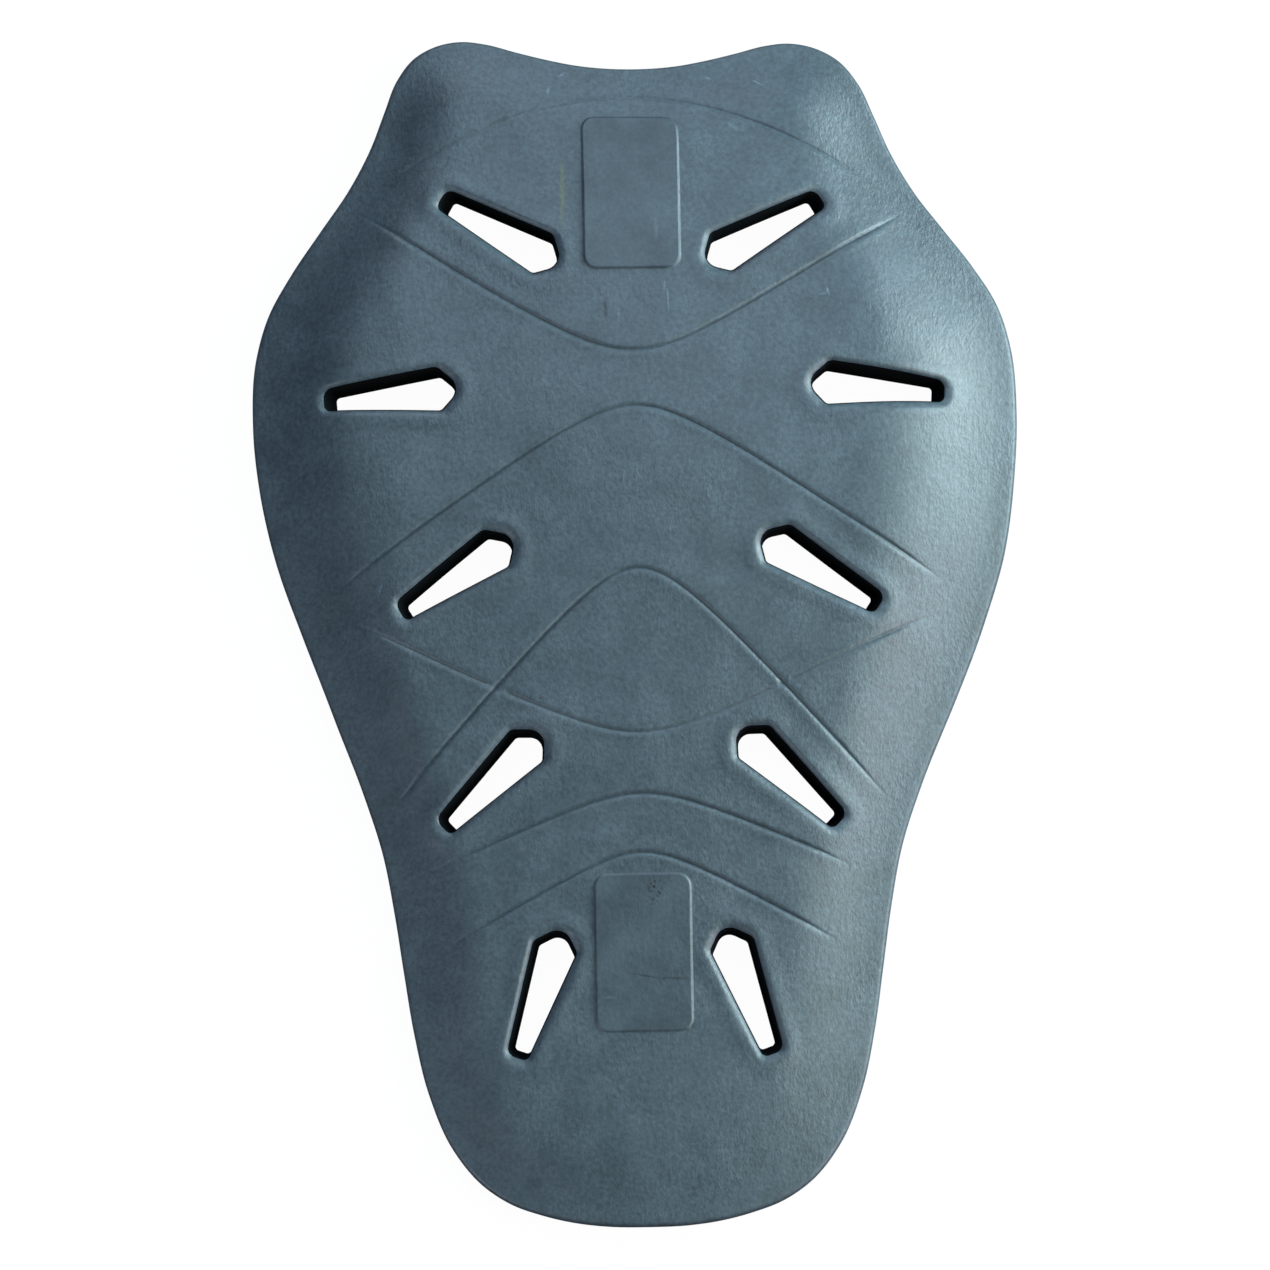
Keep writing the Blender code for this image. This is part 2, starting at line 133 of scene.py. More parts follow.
# across, along and shoulder width
OUTLINE = (
    (0.000, 0.952, 0.115),
    (0.131, 0.958, 0.115),
    (0.209, 0.968, 0.110),
    (0.288, 0.981, 0.100),
    (0.366, 0.995, 0.095),
    (0.431, 1.000, 0.095),
    (0.500, 0.992, 0.095),
    (0.557, 0.972, 0.100),
    (0.606, 0.933, 0.115),
    (0.641, 0.881, 0.140),
    (0.682, 0.817, 0.165),
    (0.741, 0.749, 0.185),
    (0.817, 0.682, 0.200),
    (0.894, 0.614, 0.225),
    (0.955, 0.547, 0.245),
    (0.987, 0.479, 0.255),
    (1.000, 0.361, 0.255),
    (0.988, 0.253, 0.250),
    (0.953, 0.128, 0.240),
    (0.892, 0.007, 0.225),
    (0.812, -0.128, 0.195),
    (0.729, -0.263, 0.180),
    (0.678, -0.365, 0.165),
    (0.648, -0.466, 0.175),
    (0.625, -0.567, 0.165),
    (0.601, -0.668, 0.160),
    (0.565, -0.770, 0.155),
    (0.505, -0.863, 0.155),
    (0.428, -0.925, 0.160),
    (0.353, -0.958, 0.165),
    (0.275, -0.977, 0.170),
    (0.196, -0.990, 0.175),
    (0.105, -0.998, 0.175),
    (0.000, -1.000, 0.175),
)

# along, arch and full thickness of the middle line
SPINE = (
    (1.00, 0.42, 0.70),
    (0.80, 0.53, 0.86),
    (0.60, 0.77, 0.97),
    (0.36, 1.00, 1.00),
    (0.00, 0.80, 1.00),
    (-0.30, 0.53, 0.95),
    (-0.60, 0.38, 0.76),
    (-0.80, 0.31, 0.66),
    (-1.00, 0.25, 0.56),
)

# across, along and turn in degrees of the right side's vents
VENTS = (
    (0.326, 0.661, 30.0),
    (0.613, 0.397, -3.5),
    (0.455, 0.095, -32.0),
    (0.370, -0.245, -43.0),
    (0.263, -0.598, -70.0),
)

# A vent's opening as a blade, corner by corner: along, half width, corner radius, then for the edge
# after the corner how much of the draft and of the mouth's rounding it takes, and its steps
VENT_BLADE = (
    (0.000, 0.42, 0.11, 0.6, 0.9, 26),
    (0.865, 1.00, 0.15, 0.3, 1.2, 9),
    (1.020, 0.00, 0.33, 0.2, 1.5, 9),
    (0.865, -1.00, 0.12, 0.2, 1.2, 26),
    (0.000, -0.42, 0.11, 1.05, 1.6, 4),
)
VENT_MIDDLE = 0.54

# middle, rise, bend, reach and share of the depth of each pressed line
PRESSED_LINES = (
    (0.901, -0.5624, 0.675, 0.67, 0.5),
    (0.462, 0.4282, 0.157, 0.73, 1.0),
    (0.367, -0.4474, 0.146, 0.805, 1.0),
    (0.094, -0.7286, 0.130, 0.66, 1.0),
    (-0.180, 0.3195, 0.157, 0.78, 0.8),
    (-0.281, -0.2844, 0.136, 0.555, 1.2),
    (-0.379, -0.3649, 0.110, 0.52, 1.2),
)
PANELS = (0.733, -0.547)

# How the pad sits a little out of true: along, then how far the whole width and how far the sides
# alone are moved along X, in metres. The ears are tilted along Y.
LEAN = (
    (1.00, -0.0009, 0.0000),
    (0.86, 0.0000, 0.0000),
    (0.66, 0.0002, 0.0000),
    (0.41, -0.0001, 0.0002),
    (0.26, 0.0000, 0.0005),
    (0.10, 0.0002, 0.0014),
    (-0.04, 0.0002, 0.0017),
    (-0.20, 0.0001, 0.0010),
    (-0.50, 0.0000, 0.0000),
    (-1.00, 0.0000, 0.0000),
)
EAR_TILT = 0.022
EAR_START = 0.105
EAR_BLEND = 0.080
SIDES_START = 0.45
SIDES_BLEND = 0.4

# Light and dark marks on the skin: x, y, turn in degrees, length and width in metres, strength
MARKS = (
    (-0.0293, 0.1990, 84, 0.0050, 0.0016, 0.84),
    (-0.0242, 0.2052, 35, 0.0040, 0.0011, 1.26),
    (0.0468, 0.2010, -30, 0.0065, 0.0008, 1.40),
    (0.0290, 0.2030, -20, 0.0040, 0.0011, 0.70),
    (0.0380, 0.1840, -28, 0.0120, 0.0030, 0.39),
    (0.0712, 0.1215, -72, 0.0052, 0.0009, 1.40),
    (0.0690, 0.1205, 10, 0.0040, 0.0009, 0.84),
    (0.0130, 0.1188, 92, 0.0140, 0.0008, 1.18),
    (0.0118, 0.1240, 80, 0.0060, 0.0014, 0.70),
    (-0.0098, 0.1160, 96, 0.0110, 0.0022, -0.62),
    (-0.0050, 0.1130, 88, 0.0090, 0.0014, 0.56),
    (0.0092, 0.1450, 90, 0.0130, 0.0022, 0.45),
    (0.0010, -0.1275, -11, 0.0180, 0.0009, -0.67),
    (0.0120, -0.1285, -3, 0.0140, 0.0014, -0.50),
    (-0.0125, -0.1350, 0, 0.0080, 0.0009, 0.62),
    (-0.0580, 0.0300, 12, 0.0100, 0.0011, 0.50),
    (-0.0930, 0.0150, 70, 0.0070, 0.0009, 0.62),
)
STAIN = (-0.0248, 0.1600, 90, 0.0360, 0.0026, 0.60)
STAIN_TONE = (0.090, 0.112, 0.050, 1)
# Oval of pits, whose dark dots are painted shade: x, y, turn, length, width, strength
PIT_SHADE = (0.0045, -0.0962, 78, 0.0175, 0.0085, 0.95)

# name, dark tone, light tone, speckle, depth of the grain, roughness and specular level
FOAMS = (
    ("foam_skin", (0.035, 0.055, 0.068, 1), (0.049, 0.075, 0.092, 1), 0.24, 0.00018, 0.48, 0.5),
    ("foam_panel", (0.026, 0.042, 0.053, 1), (0.047, 0.073, 0.089, 1), 0.14, 0.00012, 0.49, 0.5),
    # The walls' near-black tones and weak sheen are painted shade inside the vents
    ("foam_wall_painted_shade", (0.0012, 0.0018, 0.0026, 1), (0.0020, 0.0030, 0.0040, 1), 0.05, 0.00010, 0.85, 0.06),
)

# Soft boxes on a dome over the pad: turn and height in degrees, power in watts, colour
SOFT_LIGHTS = (
    ("low_right", 18, 19, 38.5, (0.775, 0.970, 1.000)),
    ("low_top", 100, 25, 7.4, (0.730, 0.835, 1.000)),
    ("low_right_under", -24, 20, 11.0, (1.000, 0.800, 0.900)),
    ("right_under", -20, 45, 5.6, (0.847, 1.000, 0.700)),
    ("high_top", 100, 65, 5.4, (0.690, 0.810, 1.000)),
    ("left_fill", 222, 25, 8.0, (0.780, 0.860, 1.000)),
)
LIGHT_DISTANCE = 1.3
LIGHT_SIZE = 0.6
FLOOR_REACH = 40.0

# Distance of the camera, width of its picture at the pad, its lean off square and its roll in degrees,
# and how far the aim is moved right and up
CAMERA_DISTANCE = 7.0
PICTURE_WIDTH = 0.4615
CAMERA_LEAN = 8.8
CAMERA_ROLL = 1.0
AIM_HEIGHT = 0.003
AIM_RIGHT = -0.0011
AIM_UP = -0.0003
SENSOR_WIDTH = 36.0


def smooth_curve(knots, values, at):
    """Cubic Hermite curve through (knots, values), with the slope at each knot from its neighbours."""
    knots = np.asarray(knots, float)
    values = np.asarray(values, float)
    slopes = np.gradient(values, knots)
    at = np.clip(at, knots[0], knots[-1])
    low = np.clip(np.searchsorted(knots, at, side="right") - 1, 0, len(knots) - 2)
    step = knots[low + 1] - knots[low]
    t = (at - knots[low]) / step
    start = (1 + 2 * t) * (1 - t) ** 2 * values[low] + t * (1 - t) ** 2 * step * slopes[low]
    finish = t * t * (3 - 2 * t) * values[low + 1] - t * t * (1 - t) * step * slopes[low + 1]
    return start + finish


def smoothstep(t):
    """3t^2 - 2t^3 between 0 and 1."""
    t = np.clip(t, 0.0, 1.0)
    return t * t * (3 - 2 * t)


def spine_value(y, column):
    """One column of SPINE at y, on a smooth curve."""
    rows = np.array(sorted(SPINE))
    return smooth_curve(rows[:, 0] * HALF_LENGTH, rows[:, column], y)


def rim_curve(count):
    """Closed outline as evenly spaced points, clockwise from above: a smooth curve through OUTLINE and
    its mirror image by chord length, fitted to the pad's length and width. The third column is the
    shoulder's width there."""
    right = np.array(OUTLINE) * (HALF_WIDTH, HALF_LENGTH, HALF_WIDTH)
    left = right[-2:0:-1] * (-1, 1, 1)
    rows = np.vstack([right, left])
    wrapped = np.vstack([rows[-3:], rows, rows[:4]])
    chord = np.linalg.norm(np.diff(wrapped[:, :2], axis=0), axis=1)
    knots = np.concatenate([[0.0], np.cumsum(chord)])
    fine = np.linspace(knots[3], knots[3 + len(rows)], CURVE_POINTS, endpoint=False)
    dense = np.column_stack([smooth_curve(knots, wrapped[:, k], fine) for k in range(3)])
    closed = np.vstack([dense, dense[:1]])
    along = np.concatenate([[0.0], np.cumsum(np.linalg.norm(np.diff(closed[:, :2], axis=0), axis=1))])
    even = np.linspace(0.0, along[-1], count, endpoint=False)
    loop = np.column_stack([np.interp(even, along, closed[:, k]) for k in range(3)])
    loop[:, 0] *= HALF_WIDTH / loop[:, 0].max()
    top, bottom = loop[:, 1].max(), loop[:, 1].min()
    loop[:, 1] = (loop[:, 1] - bottom) / (top - bottom) * LENGTH - HALF_LENGTH
    return loop


def inward_normals(loop):
    """Unit normals that point into a loop which runs clockwise seen from above."""
    ahead = np.roll(loop, -1, axis=0) - np.roll(loop, 1, axis=0)
    ahead /= np.linalg.norm(ahead, axis=1)[:, None]
    return np.column_stack([ahead[:, 1], -ahead[:, 0]])


def loop_distance(points, loop, carried):
    """Distance of each point to a closed loop, and the value that the loop carries there: the nearest
    vertex first, then the nearer of the two edges that meet at it."""
    size = (loop ** 2).sum(axis=1)
    blocks = np.array_split(points, 1 + len(points) // 4000)
    nearest = np.concatenate([np.argmin(size - 2 * block @ loop.T, axis=1) for block in blocks])
    best = np.full(len(points), np.inf)
    value = np.zeros(len(points))
    for back in (1, 0):
        first = (nearest - back) % len(loop)
        second = (first + 1) % len(loop)
        run = loop[second] - loop[first]
        share = np.clip(((points - loop[first]) * run).sum(axis=1) / (run ** 2).sum(axis=1), 0.0, 1.0)
        gap = np.linalg.norm(points - loop[first] - share[:, None] * run, axis=1)
        here = gap < best
        best = np.where(here, gap, best)
        value = np.where(here, (1 - share) * carried[first] + share * carried[second], value)
    return best, value


def inside_loop(points, loop):
    """Even-odd test of points against a closed loop."""
    x0, y0 = loop[:, 0], loop[:, 1]
    x1, y1 = np.roll(x0, -1), np.roll(y0, -1)
    rise = np.where(y1 == y0, 1.0, y1 - y0)
    found = []
    for block in np.array_split(points, 1 + len(points) // 4000):
        x, y = block[:, 0][:, None], block[:, 1][:, None]
        crosses = ((y0 > y) != (y1 > y)) & (x < x0 + (y - y0) / rise * (x1 - x0))
        found.append(crosses.sum(axis=1) % 2 == 1)
    return np.concatenate(found)


RIM = rim_curve(FIELD_POINTS)


def waves(points, size, height, seed):
    """Low soft unevenness of a moulding: sine waves of about one length, in seeded directions."""
    draw = np.random.RandomState(seed)
    turns = draw.uniform(0, 2 * math.pi, WAVE_COUNT)
    shifts = draw.uniform(0, 2 * math.pi, WAVE_COUNT)
    sizes = size * draw.uniform(0.7, 1.5, WAVE_COUNT)
    across = points[:, :1] * np.cos(turns) + points[:, 1:2] * np.sin(turns)
    return height * np.sin(2 * math.pi * across / sizes + shifts).sum(axis=1) / math.sqrt(WAVE_COUNT)


def inner_height(points):
    """Inner face: an arch of ARCH_RADIUS across the back, whose middle line rises and falls along it."""
    greatest = HALF_WIDTH ** 2 / (2 * ARCH_RADIUS)
    return spine_value(points[:, 1], 1) * greatest - points[:, 0] ** 2 / (2 * ARCH_RADIUS)


def pad_thickness(points):
    """Rim, gently rising flange, then a shoulder up to the full thickness, which grows a little away
    from the middle line."""
    inside, shoulder = loop_distance(points, RIM[:, :2], RIM[:, 2])
    full = spine_value(points[:, 1], 2) * PAD_THICKNESS
    flange = RIM_THICKNESS
    flange += (FLANGE_THICKNESS - RIM_THICKNESS) * np.clip(inside / FLANGE_WIDTH, 0.0, 1.0)
    past = inside - FLANGE_WIDTH
    past = (past + np.sqrt(past * past + FLANGE_SOFTNESS ** 2)) / 2
    full = full + SIDE_SWELL * np.clip(points[:, 0] / SIDE_PLACE, -1.0, 1.0) ** 4
    shoulder = shoulder * (1 - (1 - LEFT_SHOULDER) * smoothstep(0.5 - points[:, 0] / SIDE_PLACE))
    rise = 1 - (1 - np.clip(past / shoulder, 0.0, 1.0)) ** SHOULDER_CURVE
    return flange + np.maximum(full - FLANGE_THICKNESS, 0.0) * rise


def soft_thickness_table():
    """Thickness on a coarse square grid, evened out by passes of (1, 2, 1) / 4 both ways, in which
    only the grid's points inside the outline have a weight."""
    y, x = np.mgrid[-SOFT_ROWS:SOFT_ROWS + 1, -SOFT_COLUMNS:SOFT_COLUMNS + 1] * SOFT_STEP
    points = np.column_stack([x.ravel(), y.ravel()])
    weight = inside_loop(points, RIM[:, :2]).astype(float).reshape(x.shape)
    value = pad_thickness(points).reshape(x.shape) * weight
    for axis in (0, 1) * SOFT_PASSES:
        value = (np.roll(value, 1, axis) + 2 * value + np.roll(value, -1, axis)) / 4
        weight = (np.roll(weight, 1, axis) + 2 * weight + np.roll(weight, -1, axis)) / 4
    return value / np.maximum(weight, 1e-6)


SOFT_TABLE = soft_thickness_table()


def spline_shares(t):
    """The four weights of a uniform cubic B-spline at the share t of a step."""
    second = 3 * t ** 3 - 6 * t ** 2 + 4
    third = 3 * (t + t * t - t ** 3) + 1
    return np.array([(1 - t) ** 3, second, third, t ** 3]) / 6


def soft_thickness(points):
    """SOFT_TABLE read with cubic B-splines."""
    column = np.clip(points[:, 0] / SOFT_STEP + SOFT_COLUMNS, 1, 2 * SOFT_COLUMNS - 2)
    row = np.clip(points[:, 1] / SOFT_STEP + SOFT_ROWS, 1, 2 * SOFT_ROWS - 2)
    i, j = column.astype(int), row.astype(int)
    across, along = spline_shares(column - i), spline_shares(row - j)
    return sum(along[b] * across[a] * SOFT_TABLE[j + b - 1, i + a - 1]
               for a in range(4) for b in range(4))


def plain_outer_height(points):
    """Inner face plus thickness, which away from the rim is the soft one."""
    inside, _ = loop_distance(points, RIM[:, :2], RIM[:, 2])
    blend = smoothstep(inside / SOFT_REACH)
    return inner_height(points) + (1 - blend) * pad_thickness(points) + blend * soft_thickness(points)


def rounded_loop(corners, radii, arc_steps, edge_steps):
    """Closed loop through a polygon's corners, each rounded to its radius, with arc_steps steps on
    each round and the given number of steps on the edge after it."""
    corners = np.array(corners, float)
    before = np.roll(corners, 1, axis=0) - corners
    after = np.roll(corners, -1, axis=0) - corners
    before /= np.linalg.norm(before, axis=1)[:, None]
    after /= np.linalg.norm(after, axis=1)[:, None]
    half_angle = np.arccos(np.clip((before * after).sum(axis=1), -1, 1)) / 2
    radii = np.asarray(radii, float)
    bisector = before + after
    bisector /= np.linalg.norm(bisector, axis=1)[:, None]
    middle = corners + bisector * (radii / np.sin(half_angle))[:, None]
    first = corners + before * (radii / np.tan(half_angle))[:, None] - middle
    last = corners + after * (radii / np.tan(half_angle))[:, None] - middle
    sweep = np.arctan2(first[:, 0] * last[:, 1] - first[:, 1] * last[:, 0], (first * last).sum(axis=1))
    turn = sweep[:, None] * np.linspace(0.0, 1.0, arc_steps + 1)
    cos, sin = np.cos(turn), np.sin(turn)
    arc_x = middle[:, :1] + cos * first[:, :1] - sin * first[:, 1:]
    arc_y = middle[:, 1:] + sin * first[:, :1] + cos * first[:, 1:]
    arcs = np.stack([arc_x, arc_y], axis=2)
    pieces = []
    for k, steps in enumerate(edge_steps):
        share = np.linspace(0.0, 1.0, steps + 1)[1:-1, None]
        start, end = arcs[k][-1], arcs[(k + 1) % len(arcs)][0]
        pieces += [arcs[k], start + (end - start) * share]
    return np.vstack(pieces)


def vent_loop(row, side, draft, mouth, sink):
    """A vent's opening, each edge moved out by its shares of draft and mouth, at the depth sink under
    the outer face, where the lean of the walls has moved it towards the middle line."""
    across, along, turn = row
    blade = np.array(VENT_BLADE)
    outline = blade[:, :2] * (VENT_LENGTH, VENT_WIDTH / 2)
    trail_grow = blade[:, 3] * draft + blade[:, 4] * mouth
    lead_grow = np.roll(trail_grow, 1)
    trail = np.roll(outline, -1, axis=0) - outline
    trail /= np.linalg.norm(trail, axis=1)[:, None]
    out_b = np.column_stack([-trail[:, 1], trail[:, 0]])
    out_a = np.roll(out_b, 1, axis=0)
    bend = (out_a * out_b).sum(axis=1)
    share_a = (lead_grow - trail_grow * bend) / (1 - bend * bend)
    share_b = (trail_grow - lead_grow * bend) / (1 - bend * bend)
    grown = outline + out_a * share_a[:, None] + out_b * share_b[:, None]
    radii = blade[:, 2] * VENT_WIDTH + np.minimum(lead_grow, trail_grow)
    loop = rounded_loop(grown, radii, ARC_STEPS, blade[:, 5].astype(int))
    loop[:, 0] = VENT_MIDDLE * VENT_LENGTH - loop[:, 0]
    angle = math.radians(turn)
    spin = np.array([[math.cos(angle), -math.sin(angle)], [math.sin(angle), math.cos(angle)]])
    centre_x, centre_y = across * HALF_WIDTH, along * HALF_LENGTH
    shift = sink * VENT_LEAN * centre_x / ARCH_RADIUS
    placed = loop @ spin.T + np.array([centre_x - shift, centre_y])
    placed[:, 0] *= side
    return placed[::-1] if side < 0 else placed


MOUTHS = [vent_loop(row, side, VENT_DRAFT, VENT_MOUTH_ROUND, 0.0)
          for row in VENTS for side in (1, -1)]


def lip_height(points):
    """Low swelling of the foam round each vent's mouth, highest at its edge."""
    height = np.zeros(len(points))
    for mouth in MOUTHS:
        near = np.flatnonzero(np.linalg.norm(points - mouth.mean(axis=0), axis=1) < NEAR_VENT)
        if len(near):
            gap, _ = loop_distance(points[near], mouth, np.zeros(len(mouth)))
            height[near] += LIP_HEIGHT * smoothstep(1 - gap / LIP_WIDTH)
    return height


def line_shape(row, x):
    """Y of a pressed line at x: two straight flanks joined by a round bend in the middle."""
    middle, rise, bend, _, _ = row
    share = x / HALF_WIDTH
    return HALF_LENGTH * (middle + rise * (np.sqrt(share ** 2 + bend ** 2) - bend))


def line_slope(row, x):
    """Slope of a pressed line at x."""
    _, rise, bend, _, _ = row
    share = x / HALF_WIDTH
    return HALF_LENGTH / HALF_WIDTH * rise * share / np.sqrt(share ** 2 + bend ** 2)


def line_gap(row, points):
    """How far each point is above a pressed line, and before its two ends along X, negative past them."""
    x = np.abs(points[:, 0])
    above = (points[:, 1] - line_shape(row, x)) / np.sqrt(1 + line_slope(row, x) ** 2)
    return above, row[3] * HALF_WIDTH - x


def line_depth(points):
    """V section with a round bottom and a low ridge along its lower side, fading out towards both
    ends."""
    depth = np.zeros(len(points))
    for row in PRESSED_LINES:
        above, left = line_gap(row, points)
        section = LINE_DEPTH * np.exp(-(np.abs(above) / (0.62 * LINE_HALF_WIDTH)) ** LINE_SHARPNESS)
        ridge = LINE_RIDGE * np.exp(-((above + LINE_RIDGE_PLACE) / LINE_RIDGE_WIDTH) ** 2)
        depth += row[4] * smoothstep(left / LINE_FADE) * (section - ridge)
    return depth


def inside_rectangle(points, middle_y):
    """How far each point is inside a panel's outline with its round corners, negative outside."""
    reach = np.abs(points - np.array([0.0, middle_y]))
    corner = reach - np.array([PANEL_WIDTH / 2 - PANEL_CORNER, PANEL_LENGTH / 2 - PANEL_CORNER])
    outside = np.linalg.norm(np.maximum(corner, 0.0), axis=1)
    return PANEL_CORNER - outside - np.minimum(corner.max(axis=1), 0.0)


def panel_plane(middle_y):
    """A panel's flat top, as its height at the middle and its slope along Y."""
    half = PANEL_LENGTH / 2
    y = middle_y + half * np.linspace(-1, 1, 9)
    heights = plain_outer_height(np.column_stack([np.zeros(9), y]))
    slope = np.polyfit(y - middle_y, heights, 1)[0]
    return (heights - slope * (y - middle_y)).max() + PANEL_RAISE, slope


def outer_height(points):
    """Outer face: the plain height, with the lips and the moulding's unevenness added, the lines
    pressed in, and the flat panels blended in over their edges."""
    inside, _ = loop_distance(points, RIM[:, :2], RIM[:, 2])
    uneven = sum(waves(points, size, height, seed) for size, height, seed in WAVES)
    height = plain_outer_height(points) + lip_height(points) - line_depth(points)
    height += uneven * smoothstep(inside / WAVE_START)
    for share in PANELS:
        middle_y = share * HALF_LENGTH
        top, slope = panel_plane(middle_y)
        past_edge = inside_rectangle(points, middle_y) + PANEL_BLEND_START
        blend = smoothstep(past_edge / PANEL_BLEND)
        flat = top + slope * (points[:, 1] - middle_y) + PANEL_UNEVEN * uneven
        height = (1 - blend) * height + blend * flat
    return height


def vent_rings(row, side):
    """Loops down a vent's wall with their heights: the quarter round of the mouth, the drafted wall,
    and the small round at the inner face."""
    centre = np.array([[row[0] * HALF_WIDTH, row[1] * HALF_LENGTH]])
    through = float(pad_thickness(centre)[0])
    rings = []
    for angle in np.radians(np.linspace(0, 90, MOUTH_STEPS + 1)):
        drop = VENT_MOUTH_ROUND * (1 - math.cos(angle))
        loop = vent_loop(row, side, VENT_DRAFT, VENT_MOUTH_ROUND * (1 - math.sin(angle)), drop)
        rings.append((loop, plain_outer_height(loop) + lip_height(loop) * math.cos(angle) - drop))
    low = vent_loop(row, side, 0.0, 0.0, through - VENT_BACK_ROUND)
    low_height = inner_height(low) + VENT_BACK_ROUND
    high, high_height = rings[-1]
    for share in np.linspace(0, 1, WALL_STEPS + 1)[1:]:
        rings.append((high + (low - high) * share, high_height + (low_height - high_height) * share))
    for angle in np.radians((60, 30, 0)):
        loop = vent_loop(row, side, 0.0, VENT_BACK_ROUND * (1 - math.sin(angle)), through)
        rings.append((loop, inner_height(loop) + VENT_BACK_ROUND * (1 - math.cos(angle))))
    return rings


def rim_rings():
    """Loops round the rim's edge with their heights: a quarter round over the outer corner, and one
    under the inner corner."""
    rim = rim_curve(RIM_POINTS)
    normals = inward_normals(rim[:, :2])
    rings = []
    for angle in np.radians(np.linspace(0, 90, RIM_STEPS + 1)):
        loop = rim[:, :2] + normals * RIM_ROUND * (1 - math.sin(angle))
        rings.append((loop, plain_outer_height(loop) - RIM_ROUND * (1 - math.cos(angle))))
    for angle in np.radians(np.linspace(90, 0, RIM_STEPS + 1)):
        loop = rim[:, :2] + normals * RIM_ROUND * (1 - math.sin(angle))
        rings.append((loop, inner_height(loop) + RIM_ROUND * (1 - math.cos(angle))))
    return rings


def grid_points(step):
    """Points of a triangular grid over the whole pad."""
    rows = np.arange(-int(HALF_LENGTH / step * 1.2), int(HALF_LENGTH / step * 1.2) + 1)
    columns = np.arange(-int(HALF_WIDTH / step) - 1, int(HALF_WIDTH / step) + 1)
    x = (columns[None, :] + 0.5 * (rows[:, None] % 2)) * step
    y = np.broadcast_to(rows[:, None] * step * math.sqrt(0.75), x.shape)
    return np.column_stack([x.ravel(), y.ravel()])


def line_rows(row):
    """Points along a pressed line, in rows at set distances on both sides of it."""
    reach = row[3] * HALF_WIDTH
    x = np.linspace(-reach, reach, int(2 * reach / LINE_STEP) + 1)
    slope = line_slope(row, x)
    normal = np.column_stack([-slope, np.ones(len(x))]) / np.sqrt(1 + slope * slope)[:, None]
    middle = np.column_stack([x, line_shape(row, x)])
    offsets = np.array(LINE_OFFSETS) * LINE_HALF_WIDTH
    return np.vstack([middle + normal * offset for offset in offsets])


def panel_rows():
    """Closed rows of points over the edge of each panel."""
    half_x, half_y = PANEL_WIDTH / 2, PANEL_LENGTH / 2
    corners = [(-half_x, half_y), (half_x, half_y), (half_x, -half_y), (-half_x, -half_y)]
    loop = rounded_loop(corners, [PANEL_CORNER] * 4, PANEL_ARC_STEPS, PANEL_EDGE_STEPS)
    normals = inward_normals(loop)
    rings = [loop + normals * inset * PANEL_EDGE for inset in PANEL_OFFSETS]
    return [ring + np.array([0.0, share * HALF_LENGTH]) for share in PANELS for ring in rings]


def clear_of(points, loops, gap):
    """Which points lie outside all the loops, by more than gap."""
    clear = np.ones(len(points), bool)
    for loop in loops:
        middle = loop.mean(axis=0)
        near = np.flatnonzero(np.linalg.norm(points - middle, axis=1) < NEAR_VENT)
        if len(near):
            distance, _ = loop_distance(points[near], loop, np.zeros(len(loop)))
            clear[near] &= (distance > gap) & ~inside_loop(points[near], loop)
    return clear


def outer_points():
    """Loose points of the outer face: the rows along the lines, the rows over the panels' edges, and
    the grid wherever neither of them nor a boundary is close."""
    panels = np.vstack(panel_rows())
    kept = [panels]
    for k, row in enumerate(PRESSED_LINES):
        rows = line_rows(row)
        for other in PRESSED_LINES[:k]:
            above, left = line_gap(other, rows)
            rows = rows[(np.abs(above + LINE_HALF_WIDTH) > LINE_CROSSING) | (left < 0)]
        kept.append(rows)
    grid = grid_points(OUTER_STEP)
    for row in PRESSED_LINES:
        above, left = line_gap(row, grid)
        over = above > LINE_OFFSETS[0] * LINE_HALF_WIDTH - CLEARANCE
        over &= above < LINE_OFFSETS[-1] * LINE_HALF_WIDTH + CLEARANCE
        grid = grid[~over | (left < -0.5 * OUTER_STEP)]
    for share in PANELS:
        inset = inside_rectangle(grid, share * HALF_LENGTH)
        over = inset > PANEL_OFFSETS[0] * PANEL_EDGE - CLEARANCE
        over &= inset < PANEL_OFFSETS[-1] * PANEL_EDGE + CLEARANCE
        grid = grid[~over]
    points = np.vstack(kept + [grid])
    inside, _ = loop_distance(points, RIM[:, :2], RIM[:, 2])
    points = points[inside_loop(points, RIM[:, :2]) & (inside > RIM_ROUND + CLEARANCE)]
    return points[clear_of(points, MOUTHS, CLEARANCE)]


def inner_points(backs):
    """Loose points of the inner face."""
    grid = grid_points(INNER_STEP)
    inside, _ = loop_distance(grid, RIM[:, :2], RIM[:, 2])
    grid = grid[inside_loop(grid, RIM[:, :2]) & (inside > RIM_ROUND + 0.5 * INNER_STEP)]
    return grid[clear_of(grid, backs, 0.5 * INNER_STEP)]


def leaned(points):
    """The points moved a little along X, by LEAN, and the two ears up and down along Y."""
    rows = np.array(LEAN)[::-1]
    x, y, z = points.T
    whole = smooth_curve(rows[:, 0] * HALF_LENGTH, rows[:, 1], y)
    sides = smooth_curve(rows[:, 0] * HALF_LENGTH, rows[:, 2], y)
    sides *= smoothstep((np.abs(x) / HALF_WIDTH - SIDES_START) / SIDES_BLEND)
    rise = -EAR_TILT * x * smoothstep((y - EAR_START) / EAR_BLEND)
    return np.column_stack([x + whole + sides, y + rise, z])


